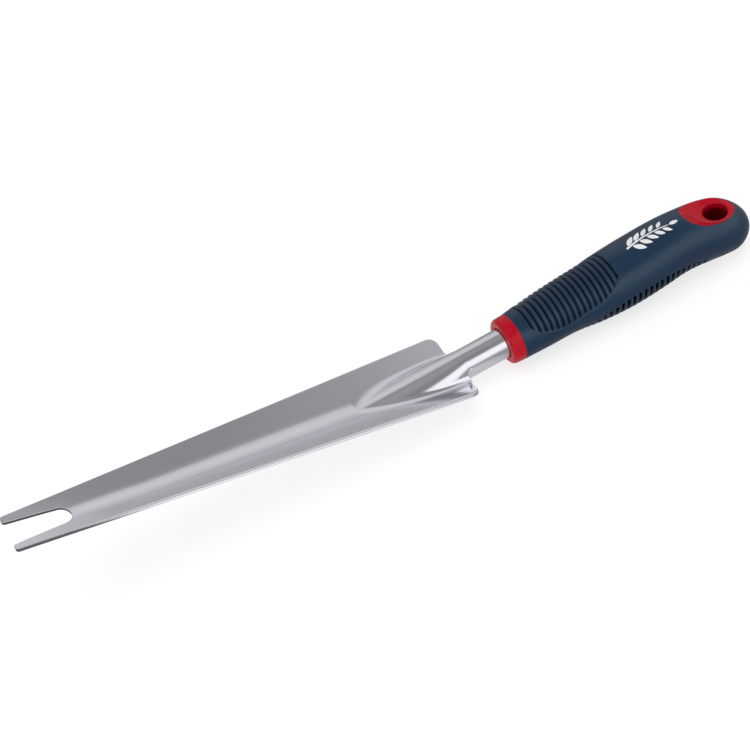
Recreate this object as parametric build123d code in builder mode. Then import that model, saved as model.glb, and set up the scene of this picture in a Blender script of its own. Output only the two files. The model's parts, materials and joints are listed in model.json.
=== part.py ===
from build123d import *
import os
from math import atan2, cos, hypot, pi, radians, sin, sqrt, tan

# Hand weeder. A forked trough blade and its rolled neck are one steel stamping. The neck is held in a
# hard red core, and a soft grip sleeve covers the core between the collar and the hanging eyelet.
# Frame: X along the handle axis from the fork to the hanging end, Z up, Y to the side.
# The origin is where the axis of the hanging hole crosses the axis of the neck. Millimetres.

# ---------------------------------------------------------------- blade
sheet = 2.0                     # steel thickness
tip_x = -343.0                  # front of the tines
flange_rear_x = -139.2          # rear edge of the blade's flanges
tip_half_width = 9.8            # half width over the tines, at the tip
rear_half_width = 20.5          # half width at the flange's rear edge
edge_height_tip = 42.6          # height of the blade's top edges at the tip
edge_height_rear = 2.8          # and at the rear, where the blade is cranked to the neck
flank_angle_tip = radians(9)    # the trough is pressed nearly flat between the tines
flank_angle = radians(20.5)     # slope of the two flanks over the rest of the blade
full_trough_x = -285.0          # from here back the flanks have their full slope
channel_radius = 15.5           # rounded bottom of the trough
valley_radius = 3.0             # bend between a flank and the raised neck, at the rear
valley_end_x = -150.0           # from here back the bend has its smallest radius

fork_root_x = -317.0            # bottom of the fork
fork_root_half = 4.3            # half width of the fork near its root
fork_mouth_half = 6.6           # half width of the fork at the tips
fork_root_radius = 3.6
tine_tip_radius = 1.3
flange_corner_radius = 4.3
flange_inner_half = 11.8        # the straight rear edge of a flange ends this far from the axis
valley_rear_x = -138.0          # rear edge of the sheet between the flanges and the neck
valley_rear_half = 10.2

# ---------------------------------------------------------------- rolled neck
neck_radius = 7.0
neck_bore = 4.9
ridge_radius = 6.94             # the pressed ridge meets the tube just inside its surface
ridge_front_radius = 11.0       # further forward it is flatter
ridge_full_x = -165.0           # in front of this it has its front radius
neck_end_x = -50.0              # end of the neck inside the handle
neck_lap = 0.7                  # the tube's upper half runs this far into the pressed sheet
roll_start_x = -136.8           # front edge of the closed tube
roll_start_z = 2.6              # in front of that edge only the sheet above this height remains
seam_gap = 0.5                  # the two rolled edges nearly meet underneath

# ---------------------------------------------------------------- handle
collar_front_x = -116.0
collar_rear_x = -110.0
collar_radius = 11.1
collar_front_radius = 10.9
collar_mouth_radius = 8.0
collar_mouth_depth = 1.2
collar_edge = 1.2
handle_end_x = 16.3
skin = 2.0                      # thickness of the soft grip over the core
fit_gap = 0.02                  # clearance between pieces that are pressed or moulded together

# Stations along the grip: place, half width, height of the top, height of the underside.
grip_stations = [
    (-110.0, 11.1, 11.1, -11.1),
    (-97.0, 12.2, 13.1, -10.8),
    (-84.0, 13.0, 14.2, -10.3),
    (-68.0, 14.3, 15.0, -12.4),
    (-52.0, 15.2, 16.3, -12.7),
    (-36.0, 15.0, 17.4, -11.4),
    (-24.0, 14.5, 17.6, -10.1),
    (-12.0, 14.4, 16.4, -11.3),
    (-3.0, 14.4, 14.6, -12.6),
    (5.0, 13.6, 12.0, -13.4),
    (16.3, 11.0, 7.6, -12.9),
]
cap_x = 1.5                     # behind this place the handle closes in a rounded end
cap_power = 2.3                 # roundness of the end: 2 is an ellipse, more is blunter
body_steps = 16
cap_steps = 8

# ---------------------------------------------------------------- hanging eyelet
hole_radius = 5.7
eyelet_centre_x = -4.2
eyelet_half_length = 13.5
eyelet_half_width = 9.4
dish_floor = 9.7                # height of the flat dish round the hole
dish_ramp_x = -6.5              # in front of this the dish rises to the grip's top
dish_ramp_height = 17.6
dish_ramp_front_x = -19.0
under_ring_radius = 8.4         # red ring round the hole on the underside
under_dish_height = -11.4

# ---------------------------------------------------------------- grip texture
rib_count = 17                  # cross grooves of the thumb pad
rib_front_x = -104.3
rib_rear_x = -59.5
rib_groove = 1.1
rib_depth = 0.9
rib_pad_width = 23.0
slot_count = 23                 # short finger slots underneath
slot_front_x = -82.0
slot_rear_x = -16.0
slot_width = 1.7
slot_depth = 1.6
# Height of the slots' upper ends at places along the grip.
slot_tops = [
    (-84.0, -6.6),
    (-78.0, -4.4),
    (-69.5, -1.2),
    (-60.0, 1.4),
    (-48.0, 2.8),
    (-36.0, 2.9),
    (-24.0, 1.8),
    (-15.0, -1.0),
]

# ---------------------------------------------------------------- parts inside the handle
pin_x = -62.0
pin_radius = 2.0
pin_length = 21.0
pin_chamfer = 0.4
plug_front_x = -70.0
plug_chamfer = 0.6

# ---------------------------------------------------------------- blade sections
section_steps = 36              # steps across one section
loft_front_x = -346.0           # the sheet is lofted from ahead of the tips and then cut to its plan
apex_front_x = -195.0           # the raised neck starts just behind here
front_steps = 8
rear_steps = 22


def blend(a, b, share):
    """Value between a and b, with a smooth start and end."""
    share = min(max(share, 0.0), 1.0)
    return a + (b - a) * share * share * (3 - 2 * share)


def spaced(start, end, steps):
    """Places at even steps from start up to, but without, end."""
    return [start + (end - start) * step / steps for step in range(steps)]


def blade_edge(x):
    """Half width and top edge height of the blade at x."""
    share = (x - tip_x) / (flange_rear_x - tip_x)
    half_width = tip_half_width + (rear_half_width - tip_half_width) * share
    return half_width, edge_height_tip + (edge_height_rear - edge_height_tip) * share


def ridge_at(x):
    """Radius of the raised ridge at x. The height of its top is the same all along."""
    return blend(ridge_front_radius, ridge_radius, (x - ridge_full_x) / (valley_rear_x - ridge_full_x))


def blade_arcs(x):
    """Flank slope at x, and the centre and radius of the bend beside the middle."""
    half_width, edge_height = blade_edge(x)
    angle = blend(flank_angle_tip, flank_angle, (x - tip_x) / (full_trough_x - tip_x))
    flank_middle = edge_height - half_width * tan(angle)
    apex_gap = flank_middle + channel_radius / cos(angle) - ridge_radius - channel_radius
    if apex_gap >= 0:
        return angle, 0.0, flank_middle + channel_radius / cos(angle), channel_radius
    share = min(-apex_gap / apex_depth, 1.0)
    radius = valley_radius + (channel_radius - valley_radius) * (1 - share) ** 2
    slope = tan(angle)
    ridge_centre_z = ridge_radius - ridge_at(x)
    height = flank_middle + radius / cos(angle) - ridge_centre_z
    reach = ridge_at(x) + radius
    root = sqrt((slope * height) ** 2 - (1 + slope**2) * (height**2 - reach**2))
    centre_y = (root - slope * height) / (1 + slope**2)
    return angle, centre_y, ridge_centre_z + height + slope * centre_y, radius


def neck_drop(x):
    """How far the bottom of the trough lies under the top of the neck at x."""
    half_width, edge_height = blade_edge(x)
    middle = edge_height - half_width * tan(flank_angle)
    return ridge_radius + channel_radius - middle - channel_radius / cos(flank_angle)


apex_depth = neck_drop(valley_end_x)


def half_section(x, share):
    """Point and upward normal of the blade's top surface at x.

    share runs along the section, from 0 in the middle to 1 at the edge.
    """
    half_width, edge_height = blade_edge(x)
    angle, centre_y, centre_z, radius = blade_arcs(x)
    ridge = ridge_at(x)
    ridge_centre_z = ridge_radius - ridge
    turn = atan2(centre_y, centre_z - ridge_centre_z)
    tangent_y = centre_y + radius * sin(angle)
    tangent_z = centre_z - radius * cos(angle)
    ridge_length = ridge * turn
    bend_length = radius * (turn + angle)
    flank_length = hypot(half_width - tangent_y, edge_height - tangent_z)
    distance = share * (ridge_length + bend_length + flank_length)
    if distance < ridge_length:
        place = distance / ridge
        return ridge * sin(place), ridge_centre_z + ridge * cos(place), sin(place), cos(place)
    distance -= ridge_length
    if distance < bend_length:
        place = distance / radius - turn
        return centre_y + radius * sin(place), centre_z - radius * cos(place), -sin(place), cos(place)
    distance -= bend_length
    return (
        tangent_y + distance * cos(angle),
        tangent_z + distance * sin(angle),
        -sin(angle),
        cos(angle),
    )


def blade_outlines(x):
    """Top and under side of the sheet at x, as points from the far edge to the near edge."""
    top, under = [], []
    for step in range(section_steps + 1):
        across = 2 * step / section_steps - 1
        side = -1 if across < 0 else 1
        y, z, normal_y, normal_z = half_section(x, abs(across))
        top.append((side * y, z))
        under.append((side * (y - sheet * normal_y), z - sheet * normal_z))
    return top, under


def along_stations(x, column):
    """One size of the grip at x: a smooth curve through the stations."""
    places = [station[0] for station in grip_stations]
    values = [station[column] for station in grip_stations]
    span = min(max(sum(place <= x for place in places) - 1, 0), len(places) - 2)

    def slope(index):
        low, high = max(index - 1, 0), min(index + 1, len(places) - 1)
        return (values[high] - values[low]) / (places[high] - places[low])

    length = places[span + 1] - places[span]
    t = (x - places[span]) / length
    return (
        values[span] * (1 + 2 * t) * (1 - t) ** 2
        + values[span + 1] * t**2 * (3 - 2 * t)
        + slope(span) * length * t * (1 - t) ** 2
        - slope(span + 1) * length * t**2 * (1 - t)
    )


def grip_section(x, inset):
    """Half width, middle height and half height of the handle at x, inset from its outside."""
    half_width, top, bottom = (along_stations(x, column) for column in (1, 2, 3))
    end_share = max(x - cap_x, 0) / (handle_end_x - inset - cap_x)
    size = (1 - end_share**cap_power) ** (1 / cap_power)
    return (half_width - inset) * size, (top + bottom) / 2, ((top - bottom) / 2 - inset) * size


def grip_body(inset):
    """Solid body of the handle behind the collar, inset from its outside."""
    with BuildPart() as body:
        cap_length = handle_end_x - inset - cap_x
        cap_places = [cap_x + cap_length * sin(pi / 2 * step / cap_steps) for step in range(cap_steps)]
        for x in spaced(collar_rear_x, cap_x, body_steps) + cap_places:
            half_width, middle, half_height = grip_section(x, inset)
            with BuildSketch(Plane.YZ.offset(x)):
                with Locations((0, middle)):
                    Ellipse(half_width, half_height)
        loft()
    return body.part


def upright_prism(half_length, half_width, centre_x):
    """Oval prism standing through the handle."""
    with BuildPart() as prism:
        with BuildSketch(Plane.XY):
            with Locations((centre_x, 0)):
                Ellipse(half_length, half_width)
        extrude(amount=2 * dish_ramp_height, both=True)
    return prism.part


def dish_cutter():
    """Space over the dished face of the eyelet, inside its oval outline."""
    with BuildPart() as cutter:
        add(upright_prism(eyelet_half_length + fit_gap, eyelet_half_width + fit_gap, eyelet_centre_x))
        with BuildSketch(Plane.XZ):
            with BuildLine():
                Line((handle_end_x, dish_floor), (dish_ramp_x, dish_floor))
                ramp = TangentArc(
                    (dish_ramp_x, dish_floor), (dish_ramp_front_x, dish_ramp_height), tangent=(-1, 0)
                )
                Polyline(ramp @ 1, (handle_end_x, dish_ramp_height + skin), (handle_end_x, dish_floor))
            make_face()
        extrude(amount=2 * eyelet_half_width, both=True, mode=Mode.INTERSECT)
    return cutter.part


def cross_bands(front_x, rear_x, count, width):
    """Thin upright slabs across the handle at even spacing: the places of grooves or slots."""
    with BuildPart() as bands:
        with GridLocations((rear_x - front_x) / (count - 1), 1, count, 1):
            Box(width, 4 * collar_radius, 4 * dish_ramp_height)
    bands.part.position = ((front_x + rear_x) / 2, 0, 0)
    return bands.part


def vertex_near(outline, x, y):
    """The vertex of a plan outline nearest to a place."""
    return outline.vertices().sort_by(lambda vertex: hypot(vertex.X - x, vertex.Y - y))[0]


# ---------------------------------------------------------------- blade and neck: one stamping
half_plan = [
    (fork_root_x, fork_root_half),
    (tip_x, fork_mouth_half),
    (tip_x, tip_half_width),
    (flange_rear_x, rear_half_width),
    (flange_rear_x, flange_inner_half),
    (valley_rear_x, valley_rear_half),
]
plan_radii = [fork_root_radius, tine_tip_radius, tine_tip_radius, flange_corner_radius]

blade_stations = [
    *spaced(loft_front_x, full_trough_x, front_steps),
    full_trough_x,
    *spaced(apex_front_x, valley_rear_x, rear_steps),
    valley_rear_x,
]

with BuildPart() as blade:
    for station in blade_stations:
        top_points, under_points = blade_outlines(station)
        with BuildSketch(Plane.YZ.offset(station)):
            with BuildLine():
                Spline(*top_points)
                Line(top_points[-1], under_points[-1])
                Spline(*under_points)
                Line(under_points[0], top_points[0])
            make_face()
    loft(ruled=True)
    with BuildSketch(Plane.XY) as blade_plan:
        with BuildLine():
            Polyline(*half_plan, *[(x, -y) for x, y in reversed(half_plan)], close=True)
        make_face()
        for (corner_x, corner_y), corner_radius in zip(half_plan, plan_radii):
            for side in (1, -1):
                fillet(vertex_near(blade_plan, corner_x, side * corner_y), corner_radius)
    extrude(amount=2 * edge_height_tip, both=True, mode=Mode.INTERSECT)
    with BuildSketch(Plane.YZ.offset(roll_start_x)):
        Circle(neck_radius)
        Circle(neck_bore, mode=Mode.SUBTRACT)
        with Locations((0, -neck_radius)):
            Rectangle(seam_gap, 2 * neck_radius, mode=Mode.SUBTRACT)
    extrude(amount=neck_end_x - roll_start_x)
    with BuildSketch(Plane.YZ.offset(valley_rear_x - neck_lap)):
        Circle(neck_radius)
        Circle(neck_bore, mode=Mode.SUBTRACT)
        with Locations((0, roll_start_z)):
            Rectangle(
                4 * neck_radius, 2 * neck_radius, align=(Align.CENTER, Align.MAX), mode=Mode.SUBTRACT
            )
    extrude(amount=roll_start_x - valley_rear_x + neck_lap)
    with BuildSketch(Plane.XZ):
        with Locations((pin_x, 0)):
            Circle(pin_radius + fit_gap)
    extrude(amount=2 * neck_radius, both=True, mode=Mode.SUBTRACT)
blade.part.label = "blade"

# ---------------------------------------------------------------- red core: one moulding
grip_outside = grip_body(0)
core_body = grip_body(skin)
dish_space = dish_cutter()

with BuildPart() as eyelet:
    add(grip_outside)
    add(upright_prism(eyelet_half_length, eyelet_half_width, eyelet_centre_x), mode=Mode.INTERSECT)

with BuildPart() as under_ring:
    add(grip_outside)
    with BuildSketch(Plane.XY):
        Circle(under_ring_radius)
    extrude(amount=-2 * dish_ramp_height, mode=Mode.INTERSECT)

with BuildPart() as handle_core:
    add(core_body)
    add(eyelet.part)
    add(under_ring.part)
    with BuildSketch(Plane.XY):
        with BuildLine():
            Polyline(
                (collar_front_x, 0),
                (collar_front_x, collar_front_radius),
                (collar_rear_x, collar_radius),
                (collar_rear_x, 0),
                close=True,
            )
        make_face()
    revolve(axis=Axis.X)
    front_edge = handle_core.edges().filter_by(GeomType.CIRCLE).sort_by(Axis.X)[0]
    fillet(front_edge, collar_edge)
    add(dish_space, mode=Mode.SUBTRACT)
    with BuildSketch(Plane.XY.offset(under_dish_height)):
        Circle(under_ring_radius - collar_edge)
    extrude(amount=-2 * skin, mode=Mode.SUBTRACT)
    with BuildSketch(Plane.YZ.offset(collar_front_x)):
        Circle(neck_radius + fit_gap)
    extrude(amount=neck_end_x - collar_front_x, mode=Mode.SUBTRACT)
    with BuildSketch(Plane.YZ.offset(collar_front_x)):
        Circle(collar_mouth_radius)
    extrude(amount=collar_mouth_depth, taper=35, mode=Mode.SUBTRACT)
    with BuildSketch(Plane.XY):
        Circle(hole_radius)
    extrude(amount=2 * dish_ramp_height, both=True, mode=Mode.SUBTRACT)
    with BuildSketch(Plane.XZ):
        with Locations((pin_x, 0)):
            Circle(pin_radius + fit_gap)
    extrude(amount=2 * neck_radius, both=True, mode=Mode.SUBTRACT)
handle_core.part.label = "handle_core"

# ---------------------------------------------------------------- soft grip sleeve
with BuildPart() as rib_grooves:
    add(grip_outside)
    add(grip_body(rib_depth), mode=Mode.SUBTRACT)
    with BuildSketch(Plane.XY):
        with Locations(((rib_front_x + rib_rear_x) / 2, 0)):
            SlotOverall(rib_rear_x - rib_front_x + 2 * rib_groove, rib_pad_width)
    extrude(amount=2 * dish_ramp_height, mode=Mode.INTERSECT)
    add(cross_bands(rib_front_x, rib_rear_x, rib_count, rib_groove), mode=Mode.INTERSECT)

with BuildPart() as finger_slots:
    add(grip_outside)
    add(grip_body(slot_depth), mode=Mode.SUBTRACT)
    with BuildSketch(Plane.XZ):
        with BuildLine():
            tops = Spline(*slot_tops)
            Polyline(
                tops @ 1,
                (slot_tops[-1][0], -2 * dish_ramp_height),
                (slot_tops[0][0], -2 * dish_ramp_height),
                tops @ 0,
            )
        make_face()
    extrude(amount=2 * collar_radius, both=True, mode=Mode.INTERSECT)
    add(cross_bands(slot_front_x, slot_rear_x, slot_count, slot_width), mode=Mode.INTERSECT)

with BuildPart() as grip_sleeve:
    add(grip_outside)
    add(grip_body(skin - fit_gap), mode=Mode.SUBTRACT)
    add(
        upright_prism(eyelet_half_length + fit_gap, eyelet_half_width + fit_gap, eyelet_centre_x),
        mode=Mode.SUBTRACT,
    )
    with BuildSketch(Plane.XY):
        Circle(under_ring_radius + fit_gap)
    extrude(amount=-2 * dish_ramp_height, mode=Mode.SUBTRACT)
    add(rib_grooves.part, mode=Mode.SUBTRACT)
    add(finger_slots.part, mode=Mode.SUBTRACT)
grip_sleeve.part.label = "grip_sleeve"

# ---------------------------------------------------------------- hidden pin and plug
with BuildPart() as neck_plug:
    with BuildSketch(Plane.YZ.offset(plug_front_x)):
        Circle(neck_bore - fit_gap)
    extrude(amount=neck_end_x - plug_front_x)
    chamfer(neck_plug.edges().filter_by(GeomType.CIRCLE), plug_chamfer)
    with BuildSketch(Plane.XZ):
        with Locations((pin_x, 0)):
            Circle(pin_radius + fit_gap)
    extrude(amount=2 * neck_radius, both=True, mode=Mode.SUBTRACT)
neck_plug.part.label = "neck_plug"

with BuildPart() as retaining_pin:
    with BuildSketch(Plane.XZ):
        with Locations((pin_x, 0)):
            Circle(pin_radius)
    extrude(amount=pin_length / 2, both=True)
    chamfer(retaining_pin.edges().filter_by(GeomType.CIRCLE), pin_chamfer)
retaining_pin.part.label = "retaining_pin"

os.makedirs("parts", exist_ok=True)
for piece in (blade, handle_core, grip_sleeve, neck_plug, retaining_pin):
    export_step(piece.part, f"parts/{piece.part.label}.step")
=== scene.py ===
import json
from math import acos, asin, atan, atan2, ceil, cos, hypot, pi, radians, sin, sqrt, tan

import bmesh
import bpy
from mathutils import Matrix, Vector


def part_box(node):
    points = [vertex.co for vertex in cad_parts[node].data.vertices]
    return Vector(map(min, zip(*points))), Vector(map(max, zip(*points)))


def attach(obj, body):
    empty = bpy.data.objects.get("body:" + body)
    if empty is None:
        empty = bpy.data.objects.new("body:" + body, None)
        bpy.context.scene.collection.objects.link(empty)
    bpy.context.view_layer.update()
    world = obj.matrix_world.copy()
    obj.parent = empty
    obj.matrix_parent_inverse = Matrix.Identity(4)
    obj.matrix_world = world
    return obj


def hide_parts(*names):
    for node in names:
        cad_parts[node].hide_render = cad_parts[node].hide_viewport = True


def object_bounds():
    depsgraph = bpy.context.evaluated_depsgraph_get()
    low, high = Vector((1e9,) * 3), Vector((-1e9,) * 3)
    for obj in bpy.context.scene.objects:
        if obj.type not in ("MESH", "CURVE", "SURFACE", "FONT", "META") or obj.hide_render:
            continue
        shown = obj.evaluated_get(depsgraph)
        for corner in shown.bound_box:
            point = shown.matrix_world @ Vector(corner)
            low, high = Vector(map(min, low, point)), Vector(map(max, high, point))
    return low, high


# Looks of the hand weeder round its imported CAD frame. Lengths are in millimetres in the row frame:
# X along the handle, Z up along the hanging hole. They turn into metres when a mesh is made.
MM = 0.001

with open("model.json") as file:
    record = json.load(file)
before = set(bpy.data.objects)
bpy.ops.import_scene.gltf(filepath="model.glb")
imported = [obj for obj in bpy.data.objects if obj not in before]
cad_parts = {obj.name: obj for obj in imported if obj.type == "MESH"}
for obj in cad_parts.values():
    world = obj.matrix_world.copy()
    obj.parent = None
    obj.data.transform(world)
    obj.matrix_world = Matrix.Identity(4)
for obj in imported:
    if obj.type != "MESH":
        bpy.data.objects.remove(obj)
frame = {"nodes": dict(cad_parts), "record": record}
cad_low, cad_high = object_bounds()


def box_mm(node):
    """Lowest and highest corner of a CAD node, in millimetres."""
    low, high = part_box(node)
    return low / MM, high / MM


blade_low, blade_high = box_mm("blade")
core_low = box_mm("handle_core")[0]
grip_low, grip_high = box_mm("grip_sleeve")

# ---------------------------------------------------------------- sizes of the blade
sheet = 2.0
edge_round = 0.3                # rounding of every cut edge
tip_x = blade_low.x
flange_rear_x = tip_x + 203.8
tip_half_width = 9.8
corner_pull = 0.23              # the rounded rear corners end the flanks this far inside the full half width
rear_half_width = blade_high.y + corner_pull
edge_height_tip = 42.6
edge_height_rear = 2.8
flank_angle_tip = radians(9)
flank_angle = radians(20.5)
full_trough_x = tip_x + 58.0
channel_radius = 15.5
valley_radius = 3.0
valley_end_x = tip_x + 193.0
ridge_front_x = tip_x + 146.0
ridge_front_radius = 11.0       # the pressed ridge is flatter in front than the neck that it runs into
ridge_full_x = tip_x + 178.0
fork_root_x = tip_x + 26.0
fork_root_half = 4.3
fork_mouth_half = 6.6
tine_corner = 1.3
flange_corner = 4.3
flange_inner_half = 11.8
valley_rear_x = tip_x + 205.0
valley_rear_half = 10.2
tube_radius = 7.0
tube_front_x = tip_x + 206.2
tube_end_x = blade_high.x
tube_front_height = 2.6         # in front of the closed tube only the sheet above this height remains
seam_half_gap = 0.25

# ---------------------------------------------------------------- sizes of the handle
collar_front_x = core_low.x
collar_rear_x = grip_low.x
handle_end_x = grip_high.x
collar_front_radius = 10.9
collar_radius = 11.1
collar_lip = 1.9
# The collar's rear edge: places behind its end, and how far in they lie.
collar_rear_edge = ((-0.35, 0.0), (-0.1, 0.1), (0.0, 0.3), (0.5, 1.5))
mouth_radius = 7.6
mouth_depth = 0.7
mouth_round = 0.35
mouth_gap = 0.04                # clearance between the collar's mouth and the neck

# Stations along the grip: place, half width, height of the top, height of the underside.
grip_stations = [
    (-110.0, 11.1, 11.1, -11.1),
    (-97.0, 12.2, 13.1, -10.8),
    (-84.0, 13.0, 14.2, -10.3),
    (-68.0, 14.3, 15.0, -12.4),
    (-52.0, 15.2, 16.3, -12.7),
    (-36.0, 15.0, 17.4, -11.4),
    (-24.0, 14.5, 17.6, -10.1),
    (-12.0, 14.4, 16.4, -11.3),
    (-3.0, 14.4, 14.6, -12.6),
    (5.0, 13.6, 12.0, -13.4),
    (16.3, 11.0, 7.6, -12.9),
]
cap_x = 1.5
cap_power = 2.3
least_half_width = 0.001        # keeps the divisions at the very end of the handle possible

# ---------------------------------------------------------------- sizes of the eyelet
hole_radius = frame["record"]["mounts"][0]["dims"]["r_mm"]
oval_centre_x = -4.2
oval_half_length = 13.5
oval_half_width = 9.4
oval_front_power = 2.3          # the oval is a little fuller in front than an ellipse
rim_height = 9.6
rim_round = 0.9
bowl_power = 1.5
bore_shade_depth = 6.0          # painted shade darkens the bore over this depth
under_ring_radius = 8.4
under_face_height = -11.4
under_face_radius = 7.2
skirt = 1.2                     # how far the mouldings' edges run down into their parting line

# ---------------------------------------------------------------- sizes of the grip texture
rib_count = 17
rib_front_x = -104.3
rib_rear_x = -59.5
rib_depth = 1.1
rib_groove_share = 0.25         # part of the pitch that is groove
rib_power = 1.9                 # roundness of the ribs: 2 is an ellipse, more is flatter
rib_shade_depth = 3.4           # the recess value sets the painted shade in the grooves: a groove this deep would have a recess value of 1; the ribs' have a third
pad_sink = 0.15
pad_front_x = -106.9
pad_rear_x = -56.7
pad_radius = 13.0               # mean radius of the handle under the pad
# Outline of the thumb pad: place along the handle, and angle round it from the top.
pad_outline = [
    (-106.9, 28), (-104.3, 50), (-101.5, 65), (-98.0, 73), (-89.0, 85), (-79.0, 77), (-69.0, 67), (-62.5, 52),
    (-58.0, 33), (-56.7, 8),
]
pad_edge = 0.7
slot_count = 23
slot_front_x = -82.0
slot_rear_x = -16.0
slot_half_width = 0.865
slot_wall = 0.07                # a slot's wall takes up this much of its length
slot_inner_half = 0.60          # half width of the flat bottom's middle part
slot_top_round = 0.7
slot_depth = 1.8
# Height of the slots' upper ends at places along the grip.
slot_tops = [
    (-84.0, -6.6), (-78.0, -4.4), (-69.5, -1.2), (-60.0, 1.4), (-48.0, 2.8), (-36.0, 2.9), (-24.0, 1.8),
    (-15.0, -1.0),
]
parting_depth = 0.22
parting_width = 0.4


# ================================================================ small helpers
def mix(a, b, share):
    return a + (b - a) * share


def smooth(low, high, value):
    """0 up to low, 1 from high on, and a smooth rise between them."""
    share = min(max((value - low) / (high - low), 0.0), 1.0)
    return share * share * (3 - 2 * share)


def even(start, end, step):
    """Places from start to end, both included, at most one step apart."""
    count = max(1, ceil(abs(end - start) / step))
    return [start + (end - start) * place / count for place in range(count + 1)]


def along(stations, x, column):
    """Value of one column at x: a smooth curve through the stations."""
    places = [station[0] for station in stations]
    values = [station[column] for station in stations]
    span = min(max(sum(place <= x for place in places) - 1, 0), len(places) - 2)

    def slope(index):
        low, high = max(index - 1, 0), min(index + 1, len(places) - 1)
        return (values[high] - values[low]) / (places[high] - places[low])

    length = places[span + 1] - places[span]
    t = (x - places[span]) / length
    return (
        values[span] * (1 + 2 * t) * (1 - t) ** 2
        + values[span + 1] * t**2 * (3 - 2 * t)
        + slope(span) * length * t * (1 - t) ** 2
        - slope(span + 1) * length * t**2 * (1 - t)
    )


class Shell:
    """Points, each kept once, and the faces between them. A point may carry how deep it is recessed, which
    the materials paint as shade.
    """

    def __init__(self):
        self.index = {}
        self.points = []
        self.faces = []
        self.recess = []

    def add(self, point, recess=0.0):
        key = tuple(round(value, 4) for value in point)
        if key not in self.index:
            self.index[key] = len(self.points)
            self.points.append(point)
            self.recess.append(recess)
        return self.index[key]

    def face(self, corners):
        corners = list(dict.fromkeys(corners))
        if len(corners) > 2:
            self.faces.append(corners)

    def grid(self, rows, flip=False, closed=False):
        """Faces between neighbouring rows of point numbers."""
        for first, second in zip(rows, rows[1:]):
            count = len(first) if closed else len(first) - 1
            for place in range(count):
                after = (place + 1) % len(first)
                corners = [first[place], second[place], second[after], first[after]]
                self.face(corners[::-1] if flip else corners)

    def piece(self, name, material):
        """The finished object, smooth shaded, with all faces turned outward."""
        mesh = bpy.data.meshes.new(name)
        mesh.from_pydata([tuple(value * MM for value in point) for point in self.points], [], self.faces)
        turned = bmesh.new()
        turned.from_mesh(mesh)
        bmesh.ops.recalc_face_normals(turned, faces=turned.faces[:])
        turned.to_mesh(mesh)
        turned.free()
        mesh.polygons.foreach_set("use_smooth", [True] * len(mesh.polygons))
        if any(self.recess):
            mesh.attributes.new("recess", "FLOAT", "POINT").data.foreach_set("value", self.recess)
        mesh.materials.append(material)
        item = bpy.data.objects.new(name, mesh)
        bpy.context.scene.collection.objects.link(item)
        return item


# ================================================================ blade and neck
def blade_edge(x):
    """Half width and top edge height of the blade at x."""
    share = (x - tip_x) / (flange_rear_x - tip_x)
    return mix(tip_half_width, rear_half_width, share), mix(edge_height_tip, edge_height_rear, share)


def neck_drop(x):
    """How far the bottom of the trough lies under the top of the neck at x."""
    half_width, edge_height = blade_edge(x)
    middle = edge_height - half_width * tan(flank_angle)
    return tube_radius + channel_radius - middle - channel_radius / cos(flank_angle)


apex_depth = neck_drop(valley_end_x)


def ridge_radius(x):
    """Radius of the raised ridge at x. Its top always lies at the height of the neck's top."""
    share = min(max((x - ridge_full_x) / (tube_front_x + edge_round - ridge_full_x), 0), 1)
    return mix(ridge_front_radius, tube_radius, share**2)


def blade_section(x):
    """Slope of the flank at x, centre and radius of the bend, and the lengths of the ridge and the bend."""
    half_width, edge_height = blade_edge(x)
    angle = mix(flank_angle_tip, flank_angle, smooth(tip_x, full_trough_x, x))
    flank_middle = edge_height - half_width * tan(angle)
    centre_y, centre_z, radius = 0.0, flank_middle + channel_radius / cos(angle), channel_radius
    ridge = ridge_radius(x)
    base = tube_radius - ridge
    gap = centre_z - tube_radius - channel_radius
    if gap < 0:
        share = min(-gap / apex_depth, 1.0)
        radius = valley_radius + (channel_radius - valley_radius) * (1 - share) ** 2
        slope = tan(angle)
        height = flank_middle + radius / cos(angle) - base
        reach = ridge + radius
        root = sqrt((slope * height) ** 2 - (1 + slope**2) * (height**2 - reach**2))
        centre_y = (root - slope * height) / (1 + slope**2)
        centre_z = base + height + slope * centre_y
    turn = atan2(centre_y, centre_z - base)
    return angle, centre_y, centre_z, radius, ridge * turn, radius * (turn + angle)


def blade_point(x, distance):
    """Point and upward normal of the half section at a distance from the middle, measured along it."""
    angle, centre_y, centre_z, radius, ridge_length, bend_length = blade_section(x)
    if distance < ridge_length:
        ridge = ridge_radius(x)
        place = distance / ridge
        return ridge * sin(place), tube_radius - ridge * (1 - cos(place)), sin(place), cos(place)
    distance -= ridge_length
    if distance < bend_length:
        place = (distance - bend_length) / radius + angle
        return centre_y + radius * sin(place), centre_z - radius * cos(place), -sin(place), cos(place)
    distance -= bend_length
    tangent_y = centre_y + radius * sin(angle)
    tangent_z = centre_z - radius * cos(angle)
    return tangent_y + distance * cos(angle), tangent_z + distance * sin(angle), -sin(angle), cos(angle)


def distance_at(x, y):
    """Distance along the half section, outside the ridge, where it lies y from the middle plane."""
    angle, centre_y, centre_z, radius, ridge_length, bend_length = blade_section(x)
    tangent_y = centre_y + radius * sin(angle)
    if y >= tangent_y:
        return ridge_length + bend_length + (y - tangent_y) / cos(angle)
    return ridge_length + bend_length - radius * (angle - asin((y - centre_y) / radius))


fork_slope = (fork_mouth_half - fork_root_half) / (fork_root_x - tip_x)
fork_lean = atan(fork_slope)
fork_round = fork_root_half * cos(fork_lean) / (1 - fork_slope * cos(fork_lean))
fork_centre_x = fork_root_x - fork_round
fork_cut = fork_round + edge_round
front_x = tip_x + edge_round
tip_round = tine_corner - edge_round
rear_x = flange_rear_x - edge_round
rear_round = flange_corner - edge_round


def corner_loss(radius, depth):
    """How far a rounded corner draws the outline in, at a depth behind its front."""
    return radius - sqrt(max(radius**2 - (radius - depth) ** 2, 0)) if depth < radius else 0.0


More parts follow.
